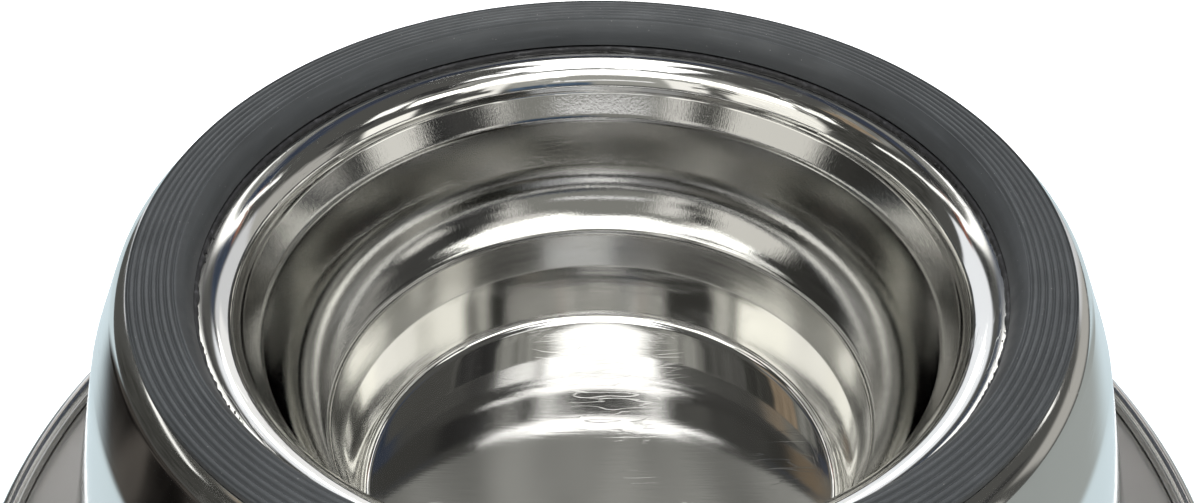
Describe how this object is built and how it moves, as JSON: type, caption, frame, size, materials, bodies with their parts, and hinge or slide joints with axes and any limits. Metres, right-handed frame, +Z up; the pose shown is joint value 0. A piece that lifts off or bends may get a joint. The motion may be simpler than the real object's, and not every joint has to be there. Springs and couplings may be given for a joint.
{
  "type": "pet feeding bowl",
  "caption": "Pressed stainless steel pet bowl with a wide rolled rim, an annular trough round a raised centre and a ribbed rubber grip ring on its base, turned upside down.",
  "frame": {"origin": "centre of the rim plane, on the surface that the upturned bowl stands on", "axes": "+Z up along the bowl's axis, from the rim plane to the grip ring under the base; the bowl is stored upside down as pictured and is turned half a turn about X for use; +X and +Y are free, as the bowl is round"},
  "size_m": [0.27, 0.27, 0.0844],
  "materials": {
    "steel": "polished, with satin recess wall and brushed rim",
    "rubber": "matte moulded rubber",
    "glue": "rough cured adhesive"
  },
  "bodies": {
    "root": {"pressed_bowl": "steel", "grip_ring": "rubber", "adhesive": "glue"}
  },
  "joints": []
}
